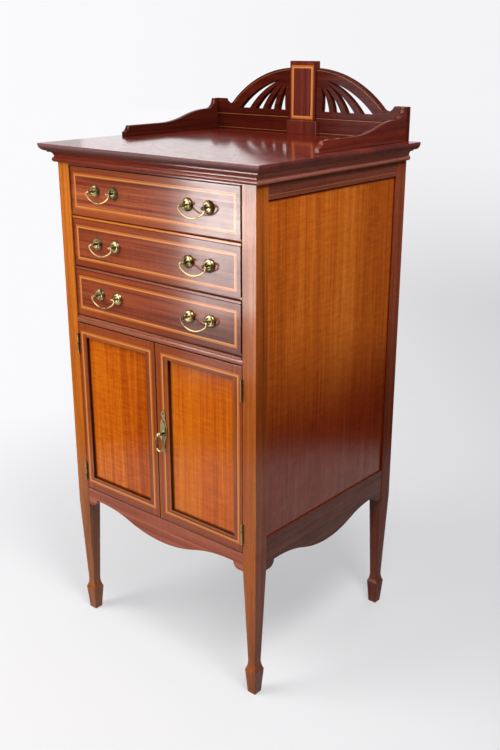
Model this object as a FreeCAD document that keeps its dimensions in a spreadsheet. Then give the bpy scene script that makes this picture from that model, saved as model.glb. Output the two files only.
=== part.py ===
import FreeCAD, Part
import Sketcher
import math
import os

# An inlaid music cabinet on tapered legs with spade feet: a moulded top with a pierced fan
# gallery, three fall-front music drawers, and a cupboard with a pair of panelled doors.
# Millimetres. Z is up, the front looks along -Y, the origin is on the floor under the
# middle of the top board.

doc = FreeCAD.newDocument("MusicCabinet")

SIZES = {
    # corner posts and legs
    "body_width": 480.0, "body_depth": 440.0, "post_size": 30.0,
    "ankle_height": 69.0, "ankle_size": 17.0,
    "foot_height": 50.0, "foot_size": 25.5, "sole_size": 18.0,
    # top board and the moulding under it
    "top_overhang": 25.0, "back_overhang": 5.0, "top_thickness": 14.0, "top_edge_radius": 12.0,
    "cornice_height": 20.0, "cornice_projection": 13.5, "cornice_fillet": 2.0,
    "cove_top": 10.0, "cove_foot": 4.5, "cove_hollow": 1.7, "bead_height": 9.0, "bead_bulge": 3.2,
    # panels and rails between the posts
    "panel_recess": 5.0, "panel_thickness": 8.0, "groove_depth": 6.0, "groove_slack": 0.3,
    "rail_recess": 1.5, "rail_thickness": 18.0, "side_rail_height": 47.0,
    "back_rail_height": 42.0, "back_rail_drop": 35.5, "back_rail_recess": 2.0,
    "top_rail_depth": 20.0, "top_rail_reveal": 4.0, "floor_thickness": 12.0, "divider_round": 3.0,
    # shaped aprons
    "apron_top": 295.5, "apron_recess": 1.0, "apron_thickness": 18.0, "apron_end_height": 37.5,
    "side_apron_lift": 26.5, "lobe_width": 12.0, "lobe_bulge": 3.6, "scoop_width": 12.0,
    "scoop_height": 13.5, "shoulder": 36.0, "belly_drop": 28.5,
    # drawers
    "drawer_divider": 10.0, "tray_clearance": 0.5, "tray_bottom": 4.0, "flap_gap": 1.0,
    "flap_height": 90.0, "flap_thickness": 18.0, "flap_ease": 6.0, "flap_end_gap": 0.4, "tray_set_back": 0.5,
    "tray_side_gap": 1.6, "tray_wall": 10.0, "tray_wall_height": 70.0, "tray_front_gap": 1.5,
    "tray_back_gap": 6.0, "runner_height": 12.0, "runner_reach": 14.0,
    "pivot_inset": 3.5, "pivot_plate": 1.4, "pivot_length": 40.0, "pivot_pin": 1.5,
    "pin_clearance": 0.05, "pivot_pin_length": 5.0,
    # drawer handles
    "handle_offset": 115.0, "rose_spacing": 48.0, "rose_lift": 5.0, "rose_radius": 11.5,
    "rose_rim": 1.2, "rose_crest": 6.4, "rose_dome": 5.4, "rose_bulge": 1.5, "rose_well": 3.8,
    "rose_well_floor": 3.0, "rose_well_hollow": 0.5, "rose_neck": 2.1, "rose_head": 3.0, "rose_reach": 15.5,
    "bail_rod": 1.4, "bail_drop": 18.0, "bail_bend": 2.2, "bail_corner": 8.0, "bail_tilt": 10.0,
    "bail_gap": 0.4, "bail_fit": 0.08,
    # cupboard doors
    "door_gap": 1.0, "door_height": 352.0, "door_thickness": 18.0, "outer_stile": 20.0,
    "meeting_stile": 26.0, "meeting_gap": 1.6, "meeting_shift": 2.0, "door_rail": 26.5,
    "door_panel": 7.0, "door_recess": 6.0, "door_groove": 6.0, "door_bead_width": 3.0, "door_bead_bulge": 0.9,
    # butt hinges
    "hinge_height": 40.0, "hinge_from_top": 22.0, "hinge_from_bottom": 18.0, "leaf_thickness": 1.0,
    "leaf_width": 14.0, "leaf_gap": 0.2, "knuckle_radius": 1.9, "knuckle_forward": 2.6,
    "knuckle_gap": 0.15, "hinge_pin": 0.9,
    # ring handle and latch on the right door
    "handle_height": 181.5, "plate_thickness": 1.6, "plate_top": 45.0, "plate_bottom": 39.5,
    "neck_half": 3.2, "neck_level": 31.5, "waist_half": 4.4, "waist_level": 14.0,
    "tail_half": 2.4, "tail_level": 30.0, "finial_bulge": 3.2, "plate_bulge": 4.8, "tail_hollow": 0.6,
    "foot_bulge": 2.6, "boss_height": 1.2, "boss_low": 11.0, "boss_high": 25.0, "boss_bulge": 5.6,
    "spindle_radius": 3.0, "spindle_collar": 5.0, "collar_height": 2.0, "spindle_reach": 13.5,
    "spindle_head": 4.8, "spindle_neck": 2.4, "spindle_fit": 0.05, "eye_radius": 2.5, "eye_drop": 1.6,
    "ring_wire": 1.5, "ring_half_width": 10.5, "ring_half_height": 15.5, "ring_end_radius": 8.5,
    "ring_lift": 0.35, "cam_thickness": 3.0, "cam_length": 26.0, "cam_width": 10.0, "cam_gap": 0.4,
    # bolt on the left door
    "bolt_radius": 2.5, "bolt_length": 50.0, "bolt_stroke": 8.0, "bolt_fit": 0.3,
    "bolt_below_top": 0.5, "bolt_plate": 1.5, "bolt_guide": 6.0, "bolt_guide_width": 9.0,
    "bolt_plate_drop": 8.0, "bolt_slack": 1.0, "bolt_knob_radius": 2.0, "bolt_knob_reach": 7.0,
    # gallery on the top
    "gallery_inset": 1.0, "gallery_thickness": 12.0, "tablet_half_width": 31.0,
    "tablet_height": 140.0, "tablet_thickness": 16.0, "tablet_base_half": 37.0,
    "tablet_base_height": 26.0, "tablet_base_proud": 6.0, "arch_rise": 127.0, "arch_bulge": 16.5,
    "arch_foot_inset": 53.0, "arch_foot_rise": 55.5, "end_block_width": 28.0,
    "end_block_rise": 62.0, "scroll_hollow": 6.3, "slot_sill": 45.0,
    "side_thickness": 10.0, "side_length": 270.0, "side_block": 8.0, "side_scoop_length": 19.0,
    "side_scoop_drop": 20.0, "side_scoop_hollow": 5.0, "side_low_rise": 20.5,
    "side_sweep_length": 140.0, "side_nose_length": 11.0, "side_nose_rise": 8.5,
    "side_nose_hollow": 2.4,
    # pierced slots of one fan, counted from the tablet outwards
    "slot1_inner": 45.0, "slot1_outer": 64.0, "slot1_tip": 43.0, "slot1_rise": 93.0,
    "slot1_inner_bulge": 2.0, "slot1_outer_bulge": 3.5,
    "slot2_inner": 75.0, "slot2_outer": 92.0, "slot2_tip": 50.0, "slot2_rise": 95.0,
    "slot2_inner_bulge": 4.5, "slot2_outer_bulge": 4.0,
    "slot3_inner": 105.0, "slot3_outer": 124.0, "slot3_tip": 58.0, "slot3_rise": 98.0,
    "slot3_inner_bulge": 5.0, "slot3_outer_bulge": 5.0,
    "slot4_inner": 140.0, "slot4_outer": 166.0, "slot4_tip": 54.0, "slot4_rise": 105.0,
    "slot4_inner_bulge": 8.0, "slot4_outer_bulge": 9.8,
}

DRAWERS = ("lower", "middle", "upper")
SLOTS = 4
CUT_MARGIN = 1.0


class Size:
    """A length that keeps its value together with the sheet expression it comes from."""

    def __init__(self, text, value):
        self.text = text
        self.value = value

    @staticmethod
    def of(item):
        if isinstance(item, Size):
            return item
        return Size("(%r)" % float(item), float(item))

    def __add__(self, other):
        other = Size.of(other)
        return Size("(%s + %s)" % (self.text, other.text), self.value + other.value)

    def __sub__(self, other):
        other = Size.of(other)
        return Size("(%s - %s)" % (self.text, other.text), self.value - other.value)

    def __mul__(self, other):
        other = Size.of(other)
        return Size("(%s * %s)" % (self.text, other.text), self.value * other.value)

    def __truediv__(self, other):
        other = Size.of(other)
        return Size("(%s / %s)" % (self.text, other.text), self.value / other.value)

    def __neg__(self):
        return self * -1

    def __radd__(self, other):
        return Size.of(other) + self

    def __rsub__(self, other):
        return Size.of(other) - self

    def __rmul__(self, other):
        return Size.of(other) * self


class Sheet:
    """The driving dimensions, one cell and one attribute each."""

    def __init__(self, values):
        cells = doc.addObject("Spreadsheet::Sheet", "Sizes")
        for row, (name, value) in enumerate(values.items(), 1):
            cells.set("A%d" % row, name.replace("_", " "))
            cells.set("B%d" % row, str(value))
            cells.setAlias("B%d" % row, name)
            setattr(self, name, Size("Sizes." + name, value))


size = Sheet(SIZES)
doc.recompute()
ZERO = Size.of(0)
nodes = []


def bind(target, prop, value):
    target.setExpression(prop, Size.of(value).text)


def node(item, name):
    """Registers a finished sub-part under the name of its file."""
    item.Label = name
    nodes.append((name, item))
    return item


def place(item, x=0, y=0, z=0):
    for axis, value in (("x", x), ("y", y), ("z", z)):
        bind(item, "Placement.Base." + axis, value)
    return item


def turn(item, axis, angle):
    """Sets a fixed direction; the angle is a plain number of degrees."""
    item.Placement = FreeCAD.Placement(FreeCAD.Vector(), FreeCAD.Rotation(FreeCAD.Vector(*axis), angle))
    return item


def box(name, x, y, z):
    """A board between two limits along each axis."""
    item = doc.addObject("Part::Box", name)
    lows = []
    for prop, limits in (("Length", x), ("Width", y), ("Height", z)):
        low, high = sorted(limits, key=lambda limit: limit.value)
        bind(item, prop, high - low)
        lows.append(low)
    return place(item, *lows)


def rod(name, radius, length, x, y, z, direction="z"):
    """A cylinder from a point along the positive direction of an axis."""
    item = doc.addObject("Part::Cylinder", name)
    bind(item, "Radius", radius)
    bind(item, "Height", length)
    if direction == "x":
        turn(item, (0, 1, 0), 90)
    if direction == "y":
        turn(item, (1, 0, 0), -90)
    return place(item, x, y, z)


def group(name, items):
    item = doc.addObject("Part::Compound", name)
    item.Links = items
    return item


def mirrored(name, item):
    """The same piece on the other side of the cabinet."""
    copy = doc.addObject("Part::Mirroring", name)
    copy.Source = item
    copy.Normal = FreeCAD.Vector(1, 0, 0)
    return copy


def pair(name, item):
    return group(name, [item, mirrored(name + "_other", item)])


def fused(name, items):
    item = doc.addObject("Part::MultiFuse", name)
    item.Shapes = items
    return item


def drilled(name, item, tool):
    cut = doc.addObject("Part::Cut", name)
    cut.Base = item
    cut.Tool = tool
    return cut


def new_body(name):
    return doc.addObject("PartDesign::Body", name + "_body")


def flipped(corner):
    """The corner of an outline that is mirrored left to right and drawn in the same order."""
    other = {"left": "right", "right": "left"}
    return (-corner[0], corner[1], *[other.get(item, item) for item in corner[2:]])


class Drawing:
    """A sketch whose corners are all held by dimensions tied to the sheet."""

    ROLES = {"xy": "XY_Plane", "xz": "XZ_Plane", "yz": "YZ_Plane"}

    def __init__(self, body, plane, offset=0):
        self.sketch = body.newObject("Sketcher::SketchObject", body.Name + "_sketch")
        origin = next(item for item in body.Origin.OriginFeatures if item.Role == self.ROLES[plane])
        self.sketch.AttachmentSupport = [(origin, "")]
        self.sketch.MapMode = "FlatFace"
        bind(self.sketch, "AttachmentOffset.Base.z", offset)

    def hold(self, kind, value, *where):
        value = Size.of(value)
        index = self.sketch.addConstraint(Sketcher.Constraint(kind, *where, value.value))
        bind(self.sketch, "Constraints[%d]" % index, value)

    def pin(self, edge, end, corner):
        self.hold("DistanceX", corner[0], -1, 1, edge, end)
        self.hold("DistanceY", corner[1], -1, 1, edge, end)

    def stretch(self, start, end, side=None, bulge=None, radius=None):
        """A straight line, or an arc that turns to one side; returns its index and its two ends."""
        first = FreeCAD.Vector(start[0].value, start[1].value, 0)
        last = FreeCAD.Vector(end[0].value, end[1].value, 0)
        if side is None:
            return self.sketch.addGeometry(Part.LineSegment(first, last)), 1, 2
        if radius is None:
            across, along = end[0] - start[0], end[1] - start[1]
            radius = ((across * across + along * along) / 4 + bulge * bulge) / (bulge * 2)
        chord = last - first
        rise = math.sqrt(radius.value ** 2 - (chord.Length / 2) ** 2)
        to_left = FreeCAD.Vector(-chord.y, chord.x, 0).normalize()
        centre = (first + last) / 2 + to_left * (rise if side == "left" else -rise)
        ends = (first, last) if side == "left" else (last, first)
        angles = [math.atan2(point.y - centre.y, point.x - centre.x) for point in ends]
        circle = Part.Circle(centre, FreeCAD.Vector(0, 0, 1), radius.value)
        edge = self.sketch.addGeometry(Part.ArcOfCircle(circle, *angles))
        self.hold("Radius", radius, edge)
        return (edge, 1, 2) if side == "left" else (edge, 2, 1)

    def outline(self, corners, closed=True):
        """Corners are (x, y), or (x, y, side, bulge, radius) where an arc leads to the corner."""
        points = [(Size.of(corner[0]), Size.of(corner[1])) for corner in corners]
        steps = range(len(corners)) if closed else range(1, len(corners))
        previous = None
        opening = None
        for step in steps:
            edge, start, end = self.stretch(points[step - 1], points[step], *corners[step][2:])
            self.pin(edge, end, points[step])
            if previous:
                self.sketch.addConstraint(Sketcher.Constraint("Coincident", *previous, edge, start))
            else:
                opening = (edge, start)
            previous = (edge, end)
        if closed:
            self.sketch.addConstraint(Sketcher.Constraint("Coincident", *previous, *opening))
        else:
            self.pin(*opening, points[0])
        return self

    def rectangle(self, x, y):
        left, right = sorted((Size.of(x[0]), Size.of(x[1])), key=lambda item: item.value)
        low, high = sorted((Size.of(y[0]), Size.of(y[1])), key=lambda item: item.value)
        return self.outline([(left, low), (right, low), (right, high), (left, high)])

    def circle(self, x, y, radius):
        centre = (Size.of(x), Size.of(y))
        place_of_centre = FreeCAD.Vector(centre[0].value, centre[1].value, 0)
        shape = Part.Circle(place_of_centre, FreeCAD.Vector(0, 0, 1), Size.of(radius).value)
        edge = self.sketch.addGeometry(shape)
        self.pin(edge, 3, centre)
        self.hold("Radius", radius, edge)
        return self


def pad(body, drawing, length, reverse=False):
    feature = body.newObject("PartDesign::Pad", body.Name + "_pad")
    feature.Profile = drawing.sketch
    feature.Reversed = reverse
    bind(feature, "Length", length)
    return feature


def pocket(body, drawing, length, reverse=False):
    """Cuts against the sketch's normal, or along it when reversed."""
    feature = body.newObject("PartDesign::Pocket", body.Name + "_pocket")
    feature.Profile = drawing.sketch
    feature.Reversed = reverse
    bind(feature, "Length", length)
    return feature


# Levels and faces shared by the pieces.
half_width = size.body_width / 2
opening = half_width - size.post_size
front = (size.top_overhang - size.back_overhang - size.body_depth) / 2
back = front + size.body_depth
between_posts = (front + size.post_size, back - size.post_size)

apron_low = size.apron_top - size.apron_end_height
door_low = size.apron_top + size.door_gap
door_high = door_low + size.door_height
divider_low = door_high + size.door_gap
divider_high = divider_low + size.drawer_divider
drawer_pitch = size.tray_bottom + size.flap_gap * 2 + size.flap_height
tray_lows = [divider_high + size.tray_clearance + drawer_pitch * step for step in range(len(DRAWERS))]
top_rail_low = tray_lows[0] + drawer_pitch * len(DRAWERS)
cornice_low = top_rail_low + size.top_rail_reveal
top_under = cornice_low + size.cornice_height
top_level = top_under + size.top_thickness

panel_face = half_width - size.panel_recess
panel_inside = panel_face - size.panel_thickness
rail_face = half_width - size.rail_recess
rail_inside = rail_face - size.rail_thickness
side_panel_low = size.apron_top + size.side_apron_lift
side_panel_high = top_under - size.side_rail_height
back_panel_back = back - size.panel_recess
back_panel_front = back_panel_back - size.panel_thickness
back_rail_back = back - size.back_rail_recess
back_rail_front = back_rail_back - size.rail_thickness
back_rail_low = size.apron_top - size.back_rail_drop
back_panel_low = back_rail_low + size.back_rail_height
back_panel_high = top_under - size.back_rail_height
door_back = front + size.door_thickness
hinge_lows = [door_low + size.hinge_from_bottom, door_high - size.hinge_from_top - size.hinge_height]
mortise = size.leaf_thickness + (size.leaf_gap - size.door_gap) / 2
door_edge = opening - size.door_gap
meeting = size.meeting_gap / 2
hinge_x = opening - size.door_gap / 2
hinge_y = front - size.knuckle_forward
handle_x = size.meeting_shift + meeting + size.door_bead_width + size.meeting_stile / 2
handle_level = door_low + size.handle_height
bolt_x = size.meeting_shift - meeting - size.meeting_stile / 2
bolt_y = door_back + size.bolt_plate + size.bolt_guide_width / 2

tray_half = opening - size.tray_side_gap - size.pivot_plate
flap_half = tray_half - size.flap_end_gap
tray_front = front + size.flap_thickness + size.tray_front_gap
tray_back = back_rail_front - size.tray_back_gap


def leg_sections():
    """Heights and widths of the square leg, with a hollow sweep above the spade foot."""
    yield ZERO, size.sole_size
    yield size.foot_height, size.foot_size
    for share in (1 / 3, 2 / 3):
        height = size.foot_height + (size.ankle_height - size.foot_height) * share
        yield height, size.ankle_size + (size.foot_size - size.ankle_size) * (1 - share) ** 2
    yield size.ankle_height, size.ankle_size
    yield apron_low, size.post_size
    yield top_under, size.post_size


def leg(name, side, end):
    """A corner post with its leg; side is -1 left or 1 right, end is -1 front or 1 back."""
    body = new_body(name)
    sections = []
    for height, width in leg_sections():
        drawing = Drawing(body, "xy", height)
        drawing.rectangle((-width / 2, width / 2), (-width / 2, width / 2))
        sections.append(drawing.sketch)
    shaft = body.newObject("PartDesign::AdditiveLoft", body.Name + "_shaft")
    shaft.Profile = sections[0]
    shaft.Sections = sections[1:]
    shaft.Ruled = True
    half = size.post_size / 2
    across = ((half - size.panel_recess) * side, (half - size.panel_recess - size.panel_thickness) * side)
    into = ((half - size.groove_depth) * -end, (half + CUT_MARGIN) * -end)
    groove = Drawing(body, "xy", side_panel_low).rectangle(across, into)
    pocket(body, groove, side_panel_high - side_panel_low, reverse=True)
    if end > 0:
        groove = Drawing(body, "xy", back_panel_low)
        across = (half - size.panel_recess, half - size.panel_recess - size.panel_thickness)
        into = ((half - size.groove_depth) * -side, (half + CUT_MARGIN) * -side)
        groove.rectangle(into, across)
        pocket(body, groove, back_panel_high - back_panel_low, reverse=True)
    else:
        for low in hinge_lows:
            across = ((half - mortise) * -side, (half + CUT_MARGIN) * -side)
            seat = Drawing(body, "xy", low).rectangle(across, (-half - CUT_MARGIN, size.leaf_width - half))
            pocket(body, seat, size.hinge_height, reverse=True)
    place(body, (half_width - half) * side, front + half if end < 0 else back - half, 0)
    node(body, name)


def shaped_edge(half_span, top):
    """Corners of an apron: rounded lobes at the posts and an S-curve down to a belly."""
    low = apron_low
    shoulder_level = low + size.scoop_height
    belly_level = shoulder_level - size.belly_drop
    curve = half_span - size.shoulder
    radius = (curve * curve + size.belly_drop * size.belly_drop) / (size.belly_drop * 4)
    lobe = half_span - size.lobe_width
    scoop = lobe - size.scoop_width
    middle = (shoulder_level + belly_level) / 2
    return [
        (-half_span, top), (-half_span, low), (-lobe, low),
        (-scoop, shoulder_level, "left", size.lobe_bulge), (-curve, shoulder_level),
        (-curve / 2, middle, "right", None, radius), (curve / 2, middle, "left", None, radius),
        (curve, shoulder_level, "right", None, radius), (scoop, shoulder_level),
        (lobe, low, "left", size.lobe_bulge), (half_span, low), (half_span, top),
    ]


def aprons():
    body = new_body("front_apron")
    drawing = Drawing(body, "xz").outline(shaped_edge(opening, size.apron_top))
    pad(body, drawing, size.apron_thickness, reverse=True)
    node(place(body, y=front + size.apron_recess), "front_apron")
    body = new_body("side_apron")
    half_span = (between_posts[1] - between_posts[0]) / 2
    drawing = Drawing(body, "yz").outline(shaped_edge(half_span, side_panel_low))
    pad(body, drawing, size.rail_thickness)
    place(body, x=rail_inside, y=(front + back) / 2)
    node(pair("side_apron_pair", body), "side_aprons")


def notched_board(name, low, thickness, x_wide, y_front, y_back, bore=None):
    """A board that fits round the four posts; bore is (x, y, radius) of a hole."""
    body = new_body(name)
    x_narrow = opening
    y_in, y_out = between_posts
    drawing = Drawing(body, "xy").outline([
        (-x_narrow, y_front), (x_narrow, y_front), (x_narrow, y_in), (x_wide, y_in), (x_wide, y_out),
        (x_narrow, y_out), (x_narrow, y_back), (-x_narrow, y_back), (-x_narrow, y_out), (-x_wide, y_out),
        (-x_wide, y_in), (-x_narrow, y_in)])
    if bore:
        drawing.circle(*bore)
    pad(body, drawing, thickness)
    node(place(body, z=low), name)


def divider():
    """The rail between drawers and cupboard, with both its front edges rounded."""
    body = new_body("divider")
    edge, deep, high = size.divider_round, size.door_thickness, size.drawer_divider
    section = Drawing(body, "yz", -opening).outline([
        (edge, ZERO, "left", None, edge), (deep, ZERO), (deep, high), (edge, high),
        (ZERO, high - edge, "left", None, edge), (ZERO, edge)])
    pad(body, section, opening * 2)
    node(place(body, y=front, z=divider_low), "cupboard_rail")


def carcass():
    for end_name, end in (("front", -1), ("back", 1)):
        for side_name, side in (("left", -1), ("right", 1)):
            leg("leg_%s_%s" % (end_name, side_name), side, end)
    grooved = size.groove_depth - size.groove_slack
    panel_y = (between_posts[0] - grooved, between_posts[1] + grooved)
    panel_z = (side_panel_low, side_panel_high)
    right_panel = box("side_panel", (panel_inside, panel_face), panel_y, panel_z)
    node(mirrored("side_panel_other", right_panel), "side_panel_left")
    node(right_panel, "side_panel_right")
    rail = box("side_rail", (rail_inside, rail_face), between_posts, (side_panel_high, top_under))
    node(pair("side_rail_pair", rail), "side_rails")
    aprons()
    across = (-opening, opening)
    node(box("top_rail", across, (front, front + size.top_rail_depth), (top_rail_low, top_under)),
         "front_top_rail")
    divider()
    wide = opening + grooved
    node(box("back_board", (-wide, wide), (back_panel_front, back_panel_back), (back_panel_low, back_panel_high)),
         "back_panel")
    back_y = (back_rail_front, back_rail_back)
    lower = box("back_rail_lower", across, back_y, (back_rail_low, back_panel_low))
    upper = box("back_rail_upper", across, back_y, (back_panel_high, top_under))
    node(group("back_rail_pair", [lower, upper]), "back_rails")
    runners = []
    for low in tray_lows[1:]:
        high = low - size.tray_clearance
        inner = opening - size.runner_reach
        runner = box("runner", (inner, panel_inside), between_posts, (high - size.runner_height, high))
        runners += [runner, mirrored("runner_other", runner)]
    node(group("runner_set", runners), "drawer_runners")
    bolt_hole = (bolt_x, bolt_y, size.bolt_radius + size.bolt_fit)
    notched_board("dust_board", divider_low, size.drawer_divider, panel_inside, door_back, back_panel_front,
                  bolt_hole)
    floor_front = front + size.apron_recess + size.apron_thickness
    notched_board("cupboard_floor", size.apron_top - size.floor_thickness, size.floor_thickness, rail_inside,
                  floor_front, back_rail_front)


def cornice_profile(outward):
    """Corners of the moulding's section: a bead, a cove and a fillet under the top."""
    shelf = size.cornice_height - size.cornice_fillet
    corners = [
        (ZERO, ZERO), (size.cove_foot, ZERO),
        (size.cove_foot, size.bead_height, "left", size.bead_bulge),
        (size.cove_top, shelf, "right", size.cove_hollow), (size.cornice_projection, shelf),
        (size.cornice_projection, size.cornice_height), (ZERO, size.cornice_height),
    ]
    return corners if outward > 0 else [flipped(corner) for corner in corners]


def cornice():
    """The top board and the mitred moulding round the front and both sides."""
    body = new_body("top_board")
    half = half_width + size.top_overhang
    y_limits = (front - size.top_overhang, back + size.back_overhang)
    slab = pad(body, Drawing(body, "xy").rectangle((-half, half), y_limits), size.top_thickness)
    doc.recompute()
    edges = []
    for index, edge in enumerate(slab.Shape.Edges, 1):
        limits = edge.BoundBox
        if limits.ZMax < size.top_thickness.value / 2 and limits.YMin < y_limits[1].value - 1:
            edges.append("Edge%d" % index)
    rounded = body.newObject("PartDesign::Fillet", "top_edge")
    rounded.Base = (slab, edges)
    bind(rounded, "Radius", size.top_edge_radius)
    node(place(body, z=top_under), "top_board")

    reach = size.cornice_projection + CUT_MARGIN
    body = new_body("cornice_front")
    length = (half_width + size.cornice_projection) * 2
    profile = Drawing(body, "yz", -length / 2).outline(cornice_profile(-1))
    pad(body, profile, length)
    for side in (-1, 1):
        corner = half_width * side
        end = (half_width + reach) * side
        mitre = Drawing(body, "xy").outline([(corner, 0), (end, 0), (end, -reach)])
        pocket(body, mitre, size.cornice_height, reverse=True)
    node(place(body, y=front, z=cornice_low), "cornice_front")

    body = new_body("cornice_return")
    length = size.body_depth + size.cornice_projection
    profile = Drawing(body, "xz", size.cornice_projection).outline(cornice_profile(1))
    pad(body, profile, length, reverse=True)
    mitre = Drawing(body, "xy").outline([(0, 0), (0, -reach), (reach, -reach)])
    pocket(body, mitre, size.cornice_height, reverse=True)
    place(body, x=half_width, y=front, z=cornice_low)
    node(pair("cornice_return_pair", body), "cornice_returns")


def fan_slot(number):
    """One tapered slot of the fan: a sill and two arcs that run together in a tip."""
    def part(word):
        return getattr(size, "slot%d_%s" % (number, word))
    return [
        (part("inner"), size.slot_sill, "right", part("inner_bulge")), (part("outer"), size.slot_sill),
        (part("tip"), part("rise"), "left", part("outer_bulge")),
    ]


def gallery():
    rear = back + size.back_overhang - size.gallery_inset
    face = rear - size.gallery_thickness
    foot = half_width - size.arch_foot_inset
    block = half_width - size.end_block_width
    body = new_body("gallery_fan")
    drawing = Drawing(body, "xz").outline([
        (size.tablet_half_width, 0), (half_width, 0), (half_width, size.end_block_rise),
        (block, size.end_block_rise), (foot, size.arch_foot_rise, "right", size.scroll_hollow),
        (size.tablet_half_width, size.arch_rise, "left", size.arch_bulge)])
    for number in range(1, SLOTS + 1):
        drawing.outline(fan_slot(number))
    pad(body, drawing, size.gallery_thickness, reverse=True)
    place(body, y=face, z=top_level)
    node(pair("gallery_fan_pair", body), "gallery_fans")

    body = new_body("gallery_side")
    sweep_start = size.side_block + size.side_scoop_length
    sweep_rise = size.end_block_rise - size.side_scoop_drop
    drop = sweep_rise - size.side_low_rise
    run = size.side_sweep_length
    radius = (run * run + drop * drop) / (drop * 4)
    nose = size.side_length - size.side_nose_length
    drawing = Drawing(body, "yz").outline([
        (0, 0), (0, size.end_block_rise), (-size.side_block, size.end_block_rise),
        (-sweep_start, sweep_rise, "right", size.side_scoop_hollow),
        (-sweep_start - run / 2, sweep_rise - drop / 2, "left", None, radius),
        (-sweep_start - run, size.side_low_rise, "right", None, radius), (-nose, size.side_low_rise),
        (-size.side_length, size.side_nose_rise, "right", size.side_nose_hollow), (-size.side_length, 0)])
    pad(body, drawing, size.side_thickness)
    place(body, x=half_width - size.side_thickness, y=face, z=top_level)
    node(pair("gallery_side_pair", body), "gallery_sides")

    body = new_body("gallery_tablet")
    width = (-size.tablet_half_width, size.tablet_half_width)
    tablet = Drawing(body, "xz").rectangle(width, (ZERO, size.tablet_height))
    pad(body, tablet, size.tablet_thickness)
    base_width = (-size.tablet_base_half, size.tablet_base_half)
    step = size.gallery_thickness
    base = Drawing(body, "xz", step).rectangle(base_width, (ZERO, size.tablet_base_height))
    pad(body, base, size.tablet_base_proud)
    node(place(body, y=rear, z=top_level), "gallery_tablet")


def strip(edge, inner):
    """Corners of a door member's section, with the panel groove in its inner edge."""
    floor = inner + size.door_groove * (1 if edge.value > inner.value else -1)
    low, high = size.door_recess, size.door_recess + size.door_panel
    return [(edge, ZERO), (inner, ZERO), (inner, low), (floor, low), (floor, high), (inner, high),
            (inner, size.door_thickness), (edge, size.door_thickness)]


def stile(name, edge, inner):
    """An upright of a door from its outer edge to the grooved inner edge."""
    body = new_body(name)
    section = Drawing(body, "xy").outline(strip(edge, inner))
    pad(body, section, size.door_height)
    return place(body, y=front, z=door_low)


def rail(name, edge, inner, left, right):
    """A cross member of a door, drawn from the side and run from stile to stile."""
    body = new_body(name)
    section = Drawing(body, "yz").outline([(depth, level) for level, depth in strip(edge, inner)])
    pad(body, section, right - left)
    return place(body, left, front, door_low)


def door(name, side):
    """Stiles, rails and panel of one door; the right one carries the bead and the latch."""
    meeting_edge = meeting + size.door_bead_width if side > 0 else meeting
    outer_inside = (door_edge - size.outer_stile) * side
    inner_edge = meeting_edge * side + size.meeting_shift
    inner_inside = inner_edge + size.meeting_stile * side
    outer = stile(name + "_outer_stile", door_edge * side, outer_inside)
    for low in hinge_lows:
        across = ((door_edge - mortise) * side, (door_edge + CUT_MARGIN) * side)
        seat = Drawing(outer, "xy", low - door_low).rectangle(across, (-CUT_MARGIN, size.leaf_width))
        pocket(outer, seat, size.hinge_height, reverse=True)
    inner = stile(name + "_inner_stile", inner_edge, inner_inside)
    if side > 0:
        bore = Drawing(inner, "xz").circle(handle_x, size.handle_height, size.spindle_radius + size.spindle_fit)
        pocket(inner, bore, size.door_thickness)
    node(group(name + "_stile_pair", [outer, inner]), name + "_stiles")
    left, right = sorted((outer_inside, inner_inside), key=lambda limit: limit.value)
    lower = rail(name + "_lower_rail", ZERO, size.door_rail, left, right)
    upper = rail(name + "_upper_rail", size.door_height, size.door_height - size.door_rail, left, right)
    node(group(name + "_rail_pair", [lower, upper]), name + "_rails")
    sunk = size.door_groove - size.groove_slack
    face = front + size.door_recess
    panel = box(name + "_board", (left - sunk, right + sunk), (face, face + size.door_panel),
                (door_low + size.door_rail - sunk, door_high - size.door_rail + sunk))
    node(panel, name + "_panel")


def door_bead():
    """The rounded bead along the right door's meeting edge."""
    body = new_body("door_bead")
    left = size.meeting_shift + meeting
    right = left + size.door_bead_width
    section = Drawing(body, "xy").outline([
        (left, 0), (right, 0, "left", size.door_bead_bulge), (right, size.door_thickness),
        (left, size.door_thickness)])
    pad(body, section, size.door_height)
    node(place(body, y=front, z=door_low), "right_door_bead")


def hinge_leaf(name, side, low, outwards, segments):
    """One leaf of a butt hinge with its knuckles; outwards is 1 on the post, -1 on the door."""
    centre = hinge_x * side
    near = centre + size.leaf_gap / 2 * side * outwards
    across = (near, near + size.leaf_thickness * side * outwards)
    third = (size.hinge_height - size.knuckle_gap * 2) / 3
    pieces = [box(name + "_plate", across, (front, front + size.leaf_width), (low, low + size.hinge_height))]
    for segment in segments:
        start = low + (third + size.knuckle_gap) * segment
        pieces.append(box(name + "_tab", across, (hinge_y, front), (start, start + third)))
        pieces.append(rod(name + "_knuckle", size.knuckle_radius, third, centre, hinge_y, start))
    bore = rod(name + "_bore", size.hinge_pin + size.pin_clearance, size.hinge_height, centre, hinge_y, low)
    return drilled(name + "_leaf", fused(name + "_blank", pieces), bore)


def hinges():
    """Two butt hinges a side: a leaf on the post, a leaf on the door and the pin between them."""
    frame_leaves = []
    pins = []
    for name, side in (("left", -1), ("right", 1)):
        door_leaves = []
        for low in hinge_lows:
            frame_leaves.append(hinge_leaf("frame", side, low, 1, (0, 2)))
            door_leaves.append(hinge_leaf(name, side, low, -1, (1,)))
            pins.append(rod("hinge_pin", size.hinge_pin, size.hinge_height, hinge_x * side, hinge_y, low))
        node(group(name + "_leaf_pair", door_leaves), name + "_hinge_leaves")
    node(group("frame_leaf_set", frame_leaves), "hinge_frame_leaves")
    node(group("hinge_pin_set", pins), "hinge_pins")


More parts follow.
